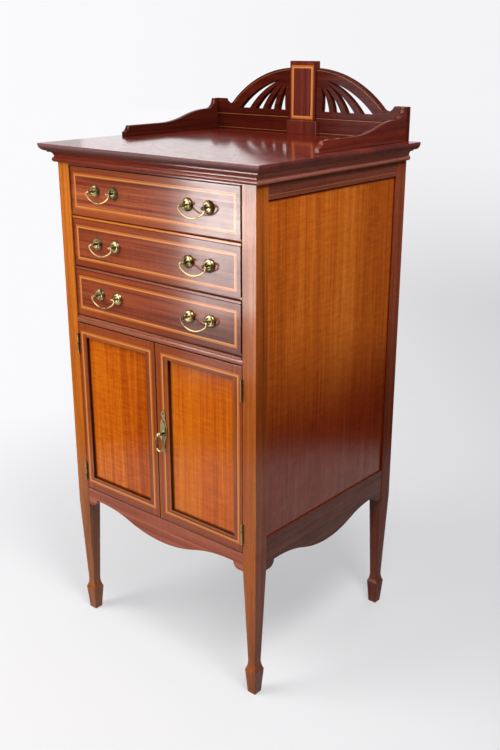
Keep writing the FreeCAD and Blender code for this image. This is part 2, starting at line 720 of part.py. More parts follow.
def turned(body, corners):
    """A turned piece whose section is drawn to one side of its upright axis."""
    section = Drawing(body, "xz").outline(corners)
    feature = body.newObject("PartDesign::Revolution", body.Name + "_turned")
    feature.Profile = section.sketch
    feature.ReferenceAxis = (section.sketch, ["V_Axis"])
    feature.Angle = 360


def cross_hole(body, reach, radius, half_length, drop=ZERO):
    """A hole across a turned piece, square to its axis and set to one side of it by drop."""
    drawing = Drawing(body, "yz", -half_length).circle(-drop, reach, radius)
    pocket(body, drawing, half_length * 2, reverse=True)


def swept(body, path, profile):
    """A round bar along a path of lines and arcs."""
    feature = body.newObject("PartDesign::AdditivePipe", body.Name + "_bar")
    feature.Profile = profile.sketch
    feature.Spine = path.sketch


def facing_front(body, x, y, z):
    """Turns a piece so that its own upright axis points out of the front."""
    return place(turn(body, (1, 0, 0), 90), x, y, z)


def handle_plate():
    """The long backplate: a leaf-shaped finial, a swelling body, a slim tail and a raised middle."""
    body = new_body("handle_plate")
    right = [
        (size.tail_half, -size.tail_level, "left", size.foot_bulge),
        (size.waist_half, -size.waist_level, "right", size.tail_hollow),
        (size.neck_half, size.neck_level, "left", size.plate_bulge),
        (ZERO, size.plate_top, "left", size.finial_bulge),
    ]
    left = [
        (-size.neck_half, size.neck_level, "left", size.finial_bulge),
        (-size.waist_half, -size.waist_level, "left", size.plate_bulge),
        (-size.tail_half, -size.tail_level, "right", size.tail_hollow),
        (ZERO, -size.plate_bottom, "left", size.foot_bulge),
    ]
    bore = size.spindle_radius + size.spindle_fit
    drawing = Drawing(body, "xz").outline(right + left)
    drawing.circle(0, 0, bore)
    pad(body, drawing, size.plate_thickness)
    boss = Drawing(body, "xz").outline([
        (ZERO, -size.boss_low, "left", size.boss_bulge), (ZERO, size.boss_high, "left", size.boss_bulge)])
    boss.circle(0, 0, bore)
    pad(body, boss, size.plate_thickness + size.boss_height)
    node(place(body, handle_x, front, handle_level), "handle_plate")


def latch():
    """The spindle through the right door and the cam on its inner end."""
    body = new_body("handle_spindle")
    inner_end = -(size.door_thickness + size.cam_gap + size.cam_thickness)
    collar = size.plate_thickness + size.boss_height + size.cam_gap
    collar_top = collar + size.collar_height
    turned(body, [
        (ZERO, inner_end), (size.spindle_radius, inner_end), (size.spindle_radius, collar),
        (size.spindle_collar, collar), (size.spindle_neck, collar_top),
        (size.spindle_neck, size.spindle_reach - size.spindle_head), (size.spindle_head, size.spindle_reach),
        (ZERO, size.spindle_reach + size.spindle_head, "left", None, size.spindle_head)])
    cross_hole(body, size.spindle_reach, size.eye_radius, size.spindle_head + CUT_MARGIN, size.eye_drop)
    node(facing_front(body, handle_x, front, handle_level), "handle_spindle")

    body = new_body("latch_cam")
    half = size.cam_width / 2
    end = half - size.cam_length
    drawing = Drawing(body, "xz").outline([
        (-half, end), (ZERO, -size.cam_length, "left", None, half), (half, end, "left", None, half),
        (half, ZERO), (ZERO, half, "left", None, half), (-half, ZERO, "left", None, half)])
    drawing.circle(0, 0, size.spindle_radius + size.spindle_fit)
    pad(body, drawing, size.cam_thickness, reverse=True)
    node(place(body, handle_x, door_back + size.cam_gap, handle_level), "latch_cam")


def ring():
    """The oval ring that hangs in the spindle's eye: two end arcs and two side arcs."""
    body = new_body("handle_ring")
    end_radius = size.ring_end_radius
    rise = size.ring_half_height - end_radius
    spread = size.ring_half_width - end_radius
    set_back = (rise * rise - spread * spread) / (spread * 2)
    side_radius = size.ring_half_width + set_back
    share = end_radius / (side_radius - end_radius)
    join_x = set_back * share
    join_z = rise + rise * share
    middle = size.ring_lift - size.ring_half_height
    bottom = middle - size.ring_half_height
    path = Drawing(body, "xz").outline([
        (ZERO, bottom, "left", None, end_radius), (join_x, middle - join_z, "left", None, end_radius),
        (join_x, middle + join_z, "left", None, side_radius), (ZERO, size.ring_lift, "left", None, end_radius),
        (-join_x, middle + join_z, "left", None, end_radius), (-join_x, middle - join_z, "left", None, side_radius)])
    swept(body, path, Drawing(body, "yz").circle(0, bottom, size.ring_wire))
    node(place(body, handle_x, front - size.spindle_reach, handle_level - size.eye_drop), "handle_ring")


def door_bolt():
    """A sliding bolt in two guides on the back of the left door's meeting stile."""
    plate_back = door_back + size.bolt_plate
    half = size.bolt_guide_width / 2
    across = (bolt_x - half, bolt_x + half)
    deep = (plate_back, plate_back + size.bolt_guide_width)
    high = door_high - size.bolt_plate_drop
    room = size.bolt_knob_radius * 2 + size.bolt_slack * 2 + size.bolt_stroke
    low = high - size.bolt_guide * 2 - room
    blank = fused("bolt_blank", [
        box("bolt_plate", across, (door_back, plate_back), (low, high)),
        box("bolt_lower_guide", across, deep, (low, low + size.bolt_guide)),
        box("bolt_upper_guide", across, deep, (high - size.bolt_guide, high))])
    way = rod("bolt_way", size.bolt_radius + size.bolt_fit, high - low, bolt_x, bolt_y, low)
    node(drilled("bolt_guides", blank, way), "bolt_bracket")
    foot = door_high - size.bolt_below_top - size.bolt_length
    knob_level = low + size.bolt_guide + size.bolt_slack + size.bolt_knob_radius
    knob_length = size.bolt_radius + size.bolt_knob_reach
    shaft = rod("bolt_shaft", size.bolt_radius, size.bolt_length, bolt_x, bolt_y, foot)
    knob = rod("bolt_knob", size.bolt_knob_radius, knob_length, bolt_x, bolt_y, knob_level, "y")
    node(fused("bolt_rod", [shaft, knob]), "left_door_bolt")


def fall_front(name, axis_y, axis_z):
    """The flap: its lower front edge is rounded about the pivots it falls open on, its upper back edge eased."""
    inset = size.pivot_inset
    inside = size.flap_thickness - inset
    top = size.flap_height - inset
    ease = size.flap_ease
    body = new_body(name + "_flap")
    section = Drawing(body, "yz", -flap_half).outline([
        (ZERO, -inset, "left", None, inset), (inside, -inset), (inside, top - ease), (inside - ease, top),
        (-inset, top), (-inset, ZERO)])
    pad(body, section, flap_half * 2)
    for end, inwards in ((-flap_half, True), (flap_half, False)):
        hole = Drawing(body, "yz", end).circle(0, 0, size.pivot_pin + size.pin_clearance)
        pocket(body, hole, size.pivot_pin_length, reverse=inwards)
    node(place(body, y=axis_y, z=axis_z), name + "_front")

    body = new_body(name + "_pivot")
    strap = Drawing(body, "yz").outline([
        (ZERO, -inset, "left", None, inset), (size.pivot_length, -inset), (size.pivot_length, inset),
        (ZERO, inset), (-inset, ZERO, "left", None, inset)])
    pad(body, strap, size.pivot_plate)
    pad(body, Drawing(body, "yz").circle(0, 0, size.pivot_pin), size.pivot_pin_length, reverse=True)
    place(body, tray_half, axis_y, axis_z)
    node(pair(name + "_pivot_pair", body), name + "_pivots")


def rose(name, x, z):
    """A turned rosette, hollow round the post, with the eye that one end of a bail turns in."""
    body = new_body(name + "_rose")
    turned(body, [
        (ZERO, ZERO), (size.rose_radius, ZERO), (size.rose_radius, size.rose_rim),
        (size.rose_crest, size.rose_dome, "left", size.rose_bulge),
        (size.rose_well, size.rose_well_floor, "right", size.rose_well_hollow), (size.rose_neck, size.rose_well_floor),
        (size.rose_neck, size.rose_reach - size.rose_head), (size.rose_head, size.rose_reach),
        (ZERO, size.rose_reach + size.rose_head, "left", None, size.rose_head)])
    cross_hole(body, size.rose_reach, size.bail_rod + size.bail_fit, size.rose_head + CUT_MARGIN)
    return facing_front(body, x, front, z)


def bail(name, x, z):
    """A swinging handle: two pins, two arms outside the posts and one long curve between them."""
    body = new_body(name + "_bail")
    inner = size.rose_spacing / 2 - size.rose_head
    outer = size.rose_spacing / 2 + size.rose_head + size.bail_gap
    bend, corner, drop = size.bail_bend, size.bail_corner, size.bail_drop
    arm = outer + bend
    span = arm - corner
    fall = drop - bend
    sweep = (span * span + fall * fall - corner * corner) / ((fall - corner) * 2)
    share = corner / (sweep - corner)
    join_x = span + span * share
    join_z = bend + (sweep - fall) * share
    path = Drawing(body, "xz").outline([
        (-inner, ZERO), (-outer, ZERO), (-arm, -bend, "left", None, bend),
        (-join_x, -join_z, "left", None, corner), (join_x, -join_z, "left", None, sweep),
        (arm, -bend, "left", None, corner), (outer, ZERO, "left", None, bend), (inner, ZERO)], closed=False)
    swept(body, path, Drawing(body, "yz", -inner).circle(0, 0, size.bail_rod))
    return place(turn(body, (1, 0, 0), -size.bail_tilt.value), x, front - size.rose_reach, z)


def drawer(name, low):
    """A fall-front drawer: an open tray, its front on two pivots and a pair of bail handles."""
    floor = low + size.tray_bottom
    node(box(name + "_board", (-tray_half, tray_half), (front + size.tray_set_back, tray_back), (low, floor)),
         name + "_base")
    inside = tray_half - size.tray_wall
    walls_z = (floor, floor + size.tray_wall_height)
    side = box(name + "_side", (inside, tray_half), (tray_front, tray_back), walls_z)
    rear = box(name + "_rear", (-inside, inside), (tray_back - size.tray_wall, tray_back), walls_z)
    node(group(name + "_wall_set", [side, mirrored(name + "_other_side", side), rear]), name + "_walls")
    flap_low = floor + size.flap_gap
    fall_front(name, front + size.pivot_inset, flap_low + size.pivot_inset)
    level = flap_low + size.flap_height / 2 + size.rose_lift
    roses = []
    for end in (-1, 1):
        piece = rose(name, size.handle_offset + size.rose_spacing / 2 * end, level)
        roses += [piece, mirrored(name + "_other_rose", piece)]
    node(group(name + "_rose_set", roses), name + "_roses")
    right_bail = bail(name, size.handle_offset, level)
    node(mirrored(name + "_other_bail", right_bail), name + "_bail_left")
    node(right_bail, name + "_bail_right")


def faults():
    """Everything in the document that did not build as meant."""
    for item in doc.Objects:
        if "Invalid" in item.State or "Error" in item.State:
            yield "%s failed" % item.Name
        if item.TypeId == "PartDesign::Pocket" and item.Shape.Volume >= item.BaseFeature.Shape.Volume:
            yield "%s cuts nothing" % item.Name
    for name, item in nodes:
        if item.Shape.isNull() or not item.Shape.isValid():
            yield "%s has no valid shape" % name


carcass()
cornice()
gallery()
door("left_door", -1)
door("right_door", 1)
door_bead()
hinges()
handle_plate()
latch()
ring()
door_bolt()
for drawer_name, tray_low in zip(DRAWERS, tray_lows):
    drawer(drawer_name + "_drawer", tray_low)
doc.recompute()

found = list(faults())
if found:
    raise RuntimeError("; ".join(found))
os.makedirs("parts", exist_ok=True)
for node_name, piece in nodes:
    piece.Shape.exportStep("parts/%s.step" % node_name)
    print(node_name, len(piece.Shape.Solids), "solids")
print(len(nodes), "sub-parts")
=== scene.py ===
import math

import bpy
from mathutils import Euler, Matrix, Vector


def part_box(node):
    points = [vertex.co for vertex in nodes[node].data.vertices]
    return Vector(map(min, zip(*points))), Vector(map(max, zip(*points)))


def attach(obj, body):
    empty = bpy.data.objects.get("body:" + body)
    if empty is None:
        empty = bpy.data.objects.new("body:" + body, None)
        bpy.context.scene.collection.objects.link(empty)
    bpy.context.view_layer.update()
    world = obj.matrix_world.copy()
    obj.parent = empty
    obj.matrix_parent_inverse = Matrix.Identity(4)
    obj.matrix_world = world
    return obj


# An inlaid mahogany music cabinet: polished wood with satinwood bands, aged brass fittings,
# on a pale studio floor. Metres, in the frame of the solids.

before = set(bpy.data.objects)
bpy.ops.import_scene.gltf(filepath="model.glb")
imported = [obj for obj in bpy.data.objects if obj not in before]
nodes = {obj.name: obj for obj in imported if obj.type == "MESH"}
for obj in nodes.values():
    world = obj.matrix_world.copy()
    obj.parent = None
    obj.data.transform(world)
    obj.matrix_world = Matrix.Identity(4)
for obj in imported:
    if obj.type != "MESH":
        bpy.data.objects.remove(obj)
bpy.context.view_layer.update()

# Faces and levels of the solids
FRONT = -0.210
TOP = 0.986
DRAWER_LOW = 0.665
DRAWER_PITCH = 0.096
DOOR_LOW = 0.2965
APRON_TOP = 0.295
TABLET_FRONT = 0.218
FAN_FRONT = 0.222
RAIL_FACE = 0.238
SIDE_FRAME = (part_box("leg_front_right")[1].y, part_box("leg_back_right")[0].y,
              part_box("side_aprons")[1].z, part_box("side_rails")[0].z)

# Rectangles of the inlaid bands and of the doors' panels, as left, right, low and high
DRAWER_BAND = (-0.1986, 0.1986, 0.013, 0.079)
LEFT_DOOR_BAND = (-0.2035, -0.0093, 0.3110, 0.6335)
RIGHT_DOOR_BAND = (0.0150, 0.2035, 0.3110, 0.6335)
TABLET_BAND = (-0.027, 0.027, TOP + 0.030, TOP + 0.132)
LEFT_PANEL = (-0.189, -0.0248, 0.323, 0.622)
RIGHT_PANEL = (0.0318, 0.189, 0.323, 0.622)

# Width of a band and of a string, and how far behind a front is still its face
BAND = 0.0056
STRING = 0.0008
SKIN = 0.0004

# Strings: the arch's centre beside the middle and below the top, its radius and reach, the
# levels on the gallery's sill above the top, and the level on the side rails
ARCH_OUT = 0.0195
ARCH_DROP = 0.104
ARCH_RADIUS = 0.2270
ARCH_REACH = 0.184
SILL_HIGH = 0.0315
SILL_LOW = 0.0034
RAIL_LEVEL = 0.9315

# Painted shade: how far it reaches into the gaps behind the front, and its share where it is thick
GAP_DEPTH = 0.010
THICK = 0.9

# Levels between which the painted shade turns the sides and the back posts from light to deep red
SHADE_RANGE = (0.72, 0.46)


def tint(red, green, blue):
    """A colour given as it looks on a screen, 0 to 255, as the linear colour that shaders take."""
    def linear(value):
        value /= 255
        return value / 12.92 if value <= 0.04045 else ((value + 0.055) / 1.055) ** 2.4
    return (linear(red), linear(green), linear(blue), 1)


def deepened(colour, share):
    return (*(value * share for value in colour[:3]), 1)


class Value:
    """What a node gives out; arithmetic on it adds Math nodes."""

    def __init__(self, finish, socket):
        self.finish = finish
        self.socket = socket

    def math(self, operation, *inputs):
        return self.finish.node("ShaderNodeMath", {"operation": operation}, *inputs)

    def __add__(self, other):
        return self.math("ADD", self, other)

    def __sub__(self, other):
        return self.math("SUBTRACT", self, other)

    def __rsub__(self, other):
        return self.math("SUBTRACT", other, self)

    def __mul__(self, other):
        return self.math("MULTIPLY", self, other)

    def __rtruediv__(self, other):
        return self.math("DIVIDE", other, self)

    def __lt__(self, other):
        return self.math("LESS_THAN", self, other)

    def __gt__(self, other):
        return self.math("GREATER_THAN", self, other)

    def __mod__(self, other):
        return self.math("FLOORED_MODULO", self, other)

    def __abs__(self):
        return self.math("ABSOLUTE", self)

    __radd__ = __add__
    __rmul__ = __mul__

    def larger(self, other):
        return self.math("MAXIMUM", self, other)

    def root(self):
        return self.math("SQRT", self)

    def between(self, low, high):
        return (self > low) * (self < high)

    def string(self, low):
        """1 on a thin inlaid line that begins at low."""
        return self.between(low, low + STRING)

    def fade(self, low, high):
        """0 at low, 1 at high, smooth in between."""
        return self.finish.node("ShaderNodeMapRange", {"interpolation_type": "SMOOTHSTEP"},
                                self, low, high)


class Finish:
    """A node tree that is filled one node at a time."""

    def __init__(self, tree):
        self.tree = tree
        tree.nodes.clear()

    def node(self, kind, settings, *inputs, give=0, **named):
        """Adds a node; named inputs are socket identifiers, or names with _ for each space."""
        made = self.tree.nodes.new(kind)
        for key, setting in settings.items():
            if key == "stops":
                self.fill_ramp(made.color_ramp.elements, setting)
            else:
                setattr(made, key, setting)
        for key, item in [*enumerate(inputs), *named.items()]:
            self.feed(self.find(made, key), item)
        if made.outputs:
            return Value(self, made.outputs[give])

    @staticmethod
    def fill_ramp(elements, stops):
        while len(elements) < len(stops):
            elements.new(0.5)
        for element, (position, colour) in zip(elements, stops):
            element.position = position
            element.color = colour

    @staticmethod
    def find(made, key):
        if isinstance(key, int):
            return made.inputs[key]
        for socket in made.inputs:
            if key in (socket.identifier, socket.name.replace(" ", "_")):
                return socket
        raise KeyError(key)

    def feed(self, socket, item):
        if isinstance(item, Value):
            self.tree.links.new(item.socket, socket)
        else:
            socket.default_value = item

    def place(self):
        return self.node("ShaderNodeTexCoord", {}, give="Object")

    def axes(self, vector):
        made = self.node("ShaderNodeSeparateXYZ", {}, vector).socket.node
        return [Value(self, output) for output in made.outputs]

    def noise(self, vector, scale, detail=2.0, roughness=0.5, distortion=0.0):
        """Cloudy noise, with scale as features per metre along each axis."""
        stretched = self.node("ShaderNodeMapping", {}, vector, Scale=scale)
        return self.node("ShaderNodeTexNoise", {}, stretched, Scale=1.0, Detail=detail,
                         Roughness=roughness, Distortion=distortion)

    def ramp(self, value, *stops):
        return self.node("ShaderNodeValToRGB", {"stops": stops}, value)

    def blend(self, amount, first, second, way="MIX"):
        """Colour from first to second, or to their product, as amount goes from 0 to 1."""
        return self.node("ShaderNodeMix", {"data_type": "RGBA", "blend_type": way},
                         Factor_Float=amount, A_Color=first, B_Color=second, give=2)

    def ray(self, kind):
        return self.node("ShaderNodeLightPath", {}, give="Is %s Ray" % kind)

    def close(self, colour, **sockets):
        surface = self.node("ShaderNodeBsdfPrincipled", {}, Base_Color=colour, **sockets)
        self.node("ShaderNodeOutputMaterial", {}, surface)


def new_material(name):
    material = bpy.data.materials.new(name)
    material.use_nodes = True
    return material, Finish(material.node_tree)


def framed(across, up, left, right, low, high):
    """Signed distance to the edge of an upright rectangle, below zero inside it."""
    wide = abs(across - (left + right) / 2) - (right - left) / 2
    tall = abs(up - (low + high) / 2) - (high - low) / 2
    return wide.larger(tall)


def banding(edge, face):
    """Masks of an inlaid band inside an edge, of its paler inner half and of the border outside."""
    band = edge.between(-BAND, 0.0) * face
    inner_half = edge.fade(-BAND * 0.45, -BAND * 0.55)
    return band, band * inner_half, (edge > 0.0) * face


def strings(mask):
    """Masks of thin pale lines alone, with no border."""
    return mask, mask, None


def drawer_inlay(x, y, z):
    height = (z - DRAWER_LOW) % DRAWER_PITCH
    return banding(framed(x, height, *DRAWER_BAND), y < FRONT + SKIN)


def left_door_inlay(x, y, z):
    return banding(framed(x, z, *LEFT_DOOR_BAND), y < FRONT + SKIN)


def right_door_inlay(x, y, z):
    return banding(framed(x, z, *RIGHT_DOOR_BAND), y < FRONT + SKIN)


def tablet_inlay(x, y, z):
    band, pale, _ = banding(framed(x, z, *TABLET_BAND), y < TABLET_FRONT + SKIN)
    return band, pale, None


def fan_inlay(x, y, z):
    """Strings along the top and the foot of the sill, and one inside the edge of the arch."""
    rise = z - TOP
    out = abs(x) - ARCH_OUT
    up = rise + ARCH_DROP
    arch = (out * out + up * up).root().string(ARCH_RADIUS) * (abs(x) < ARCH_REACH)
    sill = rise.string(SILL_HIGH) + rise.string(SILL_LOW)
    return strings((sill + arch) * (y < FAN_FRONT + SKIN))


def rail_inlay(x, y, z):
    return strings(z.string(RAIL_LEVEL) * (abs(x) > RAIL_FACE))


def painted_recess_shade(x, y, z):
    """Painted shade and some dark stain in the recess round a door's panel, at its edges and foot.
    """
    depth = y - FRONT
    foot = z.fade(DOOR_LOW + 0.0016, DOOR_LOW + 0.0008) * (depth < GAP_DEPTH)
    return (depth.fade(0.0006, 0.0016) * depth.fade(0.013, 0.008)).larger(foot) * THICK


def left_door_painted_shade(x, y, z):
    """The same, and painted shade with some dirt along the edge where the doors meet."""
    meeting = x.fade(-0.0012, 0.0004) * (y < FRONT + GAP_DEPTH)
    return painted_recess_shade(x, y, z).larger(meeting * THICK)


def drawer_gap_shade_and_tone(x, y, z):
    """Painted shade in the gaps round a drawer front, widest at its left end; the right end is made
    darker too.
    """
    depth = y - FRONT
    left_end = x.fade(-0.2030, -0.2060) * 0.7
    gap = (depth.fade(0.0004, 0.0012) + left_end) * depth.fade(0.009, 0.004)
    return gap.larger(x.fade(-0.10, 0.20) * 0.5) * 0.85


def tray_inside(x, y, z):
    """A drawer's bottom board is polished only along its front edge."""
    return y.fade(FRONT + GAP_DEPTH, FRONT + 0.014)


# Painted shade on the top of the apron, in the gap below the doors.
def apron_painted_shade(x, y, z):
    return z.fade(APRON_TOP - 0.0012, APRON_TOP - 0.0004) * THICK


# Painted shade: the left gallery side, out of the light, is made darker.
def left_gallery_painted_shade(x, y, z):
    return x.fade(-0.20, -0.22) * 0.5


def painted_leg_shade(x, y, z):
    """Painted shade: the legs are darker than the posts above them."""
    return z.fade(0.50, 0.20) * 0.5


def right_post_painted_shade(x, y, z):
    """Painted shade on the right post: its side turns deep red low down, where less light falls,
    and its foot darkens.
    """
    side = (x + y).fade(0.0298, 0.0306)
    return (side * z.fade(0.90, 0.45) * 0.7).larger(z.fade(0.25, 0.05) * 0.35)


# Painted shade: the back posts turn deep red low down, as the sides do.
def back_post_painted_shade(x, y, z):
    return z.fade(*SHADE_RANGE) * 0.55


def side_panel_painted_shade(x, y, z):
    """Painted shade on the side panels, deeper red low down and towards the back and darker along
    their edges, where the joints are dark too.
    """
    edge = framed(y, z, *SIDE_FRAME).fade(-0.006, -0.001)
    return edge.larger(z.fade(*SHADE_RANGE) * 0.92).larger(y.fade(-0.10, 0.20) * 0.2)


def top_edge(x, y, z):
    return z.fade(TOP - 0.0002, TOP - 0.0008)


def panel_painted_shade(*panel):
    """Painted shade and dirt along the edges of a door's panel."""
    def mask(x, y, z):
        return framed(x, z, *panel).fade(-0.0055, -0.0005) * 0.8
    return mask


# Colours of inlay, of painted shade, of unpolished wood and of metal; the shade and the unpolished
# wood multiply the colour under it
SATINWOOD = tint(196, 108, 40)
BOXWOOD = tint(222, 148, 82)
CROSSBAND = tint(150, 66, 30)
DARK_SHADE_AND_TONE = (0.06, 0.07, 0.11, 1)
SHADE_RED = (0.27, 0.08, 0.10, 1)
UNPOLISHED = (0.55, 0.80, 1.0, 1)
TARNISHED = tint(66, 58, 36)
RUBBED = tint(174, 156, 110)

# Figure of the wood: length of each pattern along the grain and its width across it
CLOUD_SIZE = (0.9, 0.11)
RIBBON_SIZE = (0.55, 0.011)
LINE_SIZE = (0.16, 0.0022)
PORE_SIZE = (0.016, 0.00055)
RIPPLE_SIZE = (0.006, 0.03)

# Middle of a noise, and where on the scale the dark and the light tone lie
MEAN = 0.5
DARK_AT = 0.28
LIGHT_AT = 0.74

# Pores: what counts as one, how much of it shows, its tone, and how dull and bare it is
PORE_RANGE = (0.60, 0.72)
PORE_SHARE = 0.45
PORE_TONE = 0.45
PORE_DULL = 0.1
PORE_BARE = 0.5

# Fine lines in the colour, depth of the grain, and how the roughness changes
LINE_SHARE = 0.4
GRAIN_DEPTH = 0.00005
PATCHY = 0.16
WORN_DULL = 0.45

# Inlay: least share and swing of the border, tones of the band, and share of its pale half
BORDER_LEAST = 0.3
BORDER_SWING = 0.4
BAND_TONES = (0.75, 1.15)
PALE_SHARE = 0.7

# Polish: its roughness, its least share and swing, and spots per metre in its wax
POLISH = 0.13
WAX_LEAST = 0.2
WAX_SWING = 0.8
WAX_SPOTS = (26, 26, 26)

# Brass: spots per metre in the tarnish and in the surface, and roughness with and without it
STAINS = (90, 90, 90)
SPECKS = (900, 900, 900)
TARNISH_ROUGH = 0.46
RUBBED_ROUGH = 0.30


def wood(name, dark, middle, light, grain, inlay=None, shade_and_tone=None, shade_and_tone_colour=DARK_SHADE_AND_TONE, cloud=0.7,
         stripe=0.6, ripple=0.1, rough=0.4, haze=0.0, coat=0.7, bands=1.0, worn=None, lean=0.0):
    """Polished wood with its grain along an axis.

    inlay gives masks of a band, its pale half and a border from x, y and z, and the argument after
    it a mask of painted shade, on some pieces also of a darker tone, that multiplies the colour.
    cloud, stripe and ripple set how far the colour changes from place to place, along the grain
    and across it. haze is the sheen of the wood itself under its coat of polish, bands the
    brightness of the inlay, worn a mask of where the wood is rubbed dull, and lean the slope from
    front to back that an old board has warped to.
    """
    material, finish = new_material(name)
    here = finish.place()

    def pattern(length, width, **shape):
        scale = [1 / length if axis == grain else 1 / width for axis in "xyz"]
        return finish.noise(here, scale, **shape)

    broad = pattern(*CLOUD_SIZE)
    ribbon = pattern(*RIBBON_SIZE, detail=3, distortion=0.4)
    fine = pattern(*LINE_SIZE)
    pores = pattern(*PORE_SIZE, detail=1).fade(*PORE_RANGE)
    wave = pattern(*RIPPLE_SIZE, distortion=0.8)
    swing = ((broad - MEAN) * cloud + (ribbon - MEAN) * stripe + (fine - MEAN) * LINE_SHARE
             + (wave - MEAN) * ripple)
    colour = finish.ramp(MEAN + swing, (DARK_AT, dark), (MEAN, middle), (LIGHT_AT, light))
    colour = finish.blend(pores * PORE_SHARE, colour, deepened(dark, PORE_TONE))
    at = finish.axes(here)
    band, pale, border = inlay(*at) if inlay else (None, None, None)
    if border:
        crossing = BORDER_LEAST + fine * BORDER_SWING
        colour = finish.blend(border * crossing, colour, CROSSBAND)
    # Painted shade, and on some pieces a darker tone, multiplied into the colour
    if shade_and_tone:
        colour = finish.blend(shade_and_tone(*at), colour, shade_and_tone_colour, "MULTIPLY")
    if band:
        tones = [deepened(SATINWOOD, tone * bands) for tone in BAND_TONES]
        colour = finish.blend(band, colour, finish.blend(fine, *tones))
        colour = finish.blend(pale * PALE_SHARE, colour, deepened(BOXWOOD, bands))
    height = fine - pores
    if lean:
        height = height + at[1] * (lean / GRAIN_DEPTH)
    bump = finish.node("ShaderNodeBump", {}, Strength=1.0, Distance=GRAIN_DEPTH, Height=height)
    waxed = finish.noise(here, WAX_SPOTS, detail=4, roughness=0.65)
    dull = rough + (broad - MEAN) * PATCHY + pores * PORE_DULL
    if worn:
        dull = dull + worn(*at) * WORN_DULL
    wax = WAX_LEAST + WAX_SWING * waxed + WAX_SWING * fine
    finish.close(colour, Normal=bump, Roughness=dull, Coat_Roughness=POLISH,
                 Specular_IOR_Level=haze, Coat_Weight=coat * wax * (1 - pores * PORE_BARE))
    return material


def plain_timber(name, dark, light, grain):
    """Unpolished timber of the inside and the back."""
    return wood(name, dark, light, deepened(light, 1.25), grain, rough=0.6, coat=0.0)


def brass(name, bare):
    """Old brass, bright where rubbed and brown where tarnished: the lower bare, the brighter."""
    material, finish = new_material(name)
    here = finish.place()
    stain = finish.noise(here, STAINS, detail=3)
    speck = finish.noise(here, SPECKS)
    worn = (stain + (speck - MEAN) * 0.15).fade(bare - 0.12, bare + 0.12)
    colour = finish.blend(worn, TARNISHED, RUBBED)
    bump = finish.node("ShaderNodeBump", {}, Strength=0.2, Distance=0.0002, Height=speck)
    rough = TARNISH_ROUGH - worn * (TARNISH_ROUGH - RUBBED_ROUGH)
    finish.close(colour, Normal=bump, Metallic=1.0, Roughness=rough)
    return material


def dress(material, *names):
    for name in names:
        nodes[name].material_slots[0].material = material


def pieces_with(*words):
    """Names of the solids that have one of the words in them."""
    return [name for name in nodes if any(word in name for word in words)]


# Woods, each as its dark, middle and light tone
DARK_RED = (tint(58, 17, 11), tint(92, 30, 20), tint(124, 46, 30))
DRAWER_RED = (tint(92, 34, 20), tint(134, 60, 36), tint(172, 84, 48))
FADED_RED = (tint(118, 47, 28), tint(172, 86, 52), tint(212, 114, 66))
DOOR_RED = (tint(100, 42, 22), tint(148, 72, 37), tint(186, 100, 52))
APRON_RED = (tint(136, 60, 36), tint(178, 92, 61), tint(204, 116, 80))
RAIL_RED = (tint(108, 52, 34), tint(146, 80, 56), tint(174, 104, 78))
CORNICE_RED = (tint(96, 35, 23), tint(142, 59, 41), tint(172, 79, 56))
# The returns are painted lighter than the front, as painted light where the top's overhang shades
# them
LIT_CORNICE_SIDE = (tint(122, 60, 45), tint(172, 95, 75), tint(200, 119, 96))
RETURN_RED = (tint(84, 40, 28), tint(124, 64, 48), tint(150, 82, 64))
GALLERY_RED = (tint(58, 18, 11), tint(92, 32, 21), tint(120, 46, 31))
FAN_RED = (tint(44, 11, 6), tint(70, 20, 12), tint(94, 32, 20))
ORANGE = (tint(122, 54, 14), tint(166, 84, 28), tint(192, 110, 42))
LEFT_POST = (tint(166, 82, 22), tint(204, 110, 34), tint(226, 138, 54))
GOLD = (tint(160, 62, 3), tint(200, 93, 8), tint(226, 126, 20))
SIDE = (tint(146, 64, 13), tint(195, 95, 24), tint(222, 126, 41))
BROWN = (tint(54, 22, 14), tint(82, 36, 24), tint(108, 52, 36))
BACK_POST = (tint(92, 42, 26), tint(138, 68, 44), tint(166, 86, 58))

# Brass
AGED_BRASS = brass("aged_brass", bare=0.5)
RUBBED_BRASS = brass("rubbed_brass", bare=0.40)
dress(AGED_BRASS, *pieces_with("bolt", "latch", "pivots", "roses"))
dress(RUBBED_BRASS, *pieces_with("hinge", "handle", "bail"))

# Posts and side panels
dress(wood("left_post_mahogany", *LEFT_POST, "z", shade_and_tone=painted_leg_shade), "leg_front_left")
dress(wood("right_post_mahogany", *ORANGE, "z", shade_and_tone=right_post_painted_shade, shade_and_tone_colour=SHADE_RED, coat=0.58),
      "leg_front_right")
dress(wood("back_post_mahogany", *BACK_POST, "z", shade_and_tone=back_post_painted_shade, shade_and_tone_colour=SHADE_RED, coat=0.3),
      "leg_back_left", "leg_back_right")
dress(wood("side_panel_mahogany", *SIDE, "z", cloud=0.6, stripe=0.4, ripple=0.25,
           shade_and_tone=side_panel_painted_shade, shade_and_tone_colour=SHADE_RED),
      "side_panel_left", "side_panel_right")

# Doors
for hand, panel, ripple, inlay, shade_and_tone in (
        ("left", LEFT_PANEL, 0.35, left_door_inlay, left_door_painted_shade),
        ("right", RIGHT_PANEL, 0.25, right_door_inlay, painted_recess_shade)):
    dress(wood(hand + "_panel_ribbon", *GOLD, "z", cloud=0.4, ripple=ripple,
               shade_and_tone=panel_painted_shade(*panel)), hand + "_door_panel")
    dress(wood(hand + "_stile_mahogany", *DOOR_RED, "z", inlay=inlay, shade_and_tone=shade_and_tone),
          hand + "_door_stiles")
    dress(wood(hand + "_rail_mahogany", *DOOR_RED, "x", inlay=inlay, shade_and_tone=shade_and_tone),
          hand + "_door_rails")
dress(wood("bead_mahogany", *ORANGE, "z", shade_and_tone=painted_recess_shade), "right_door_bead")

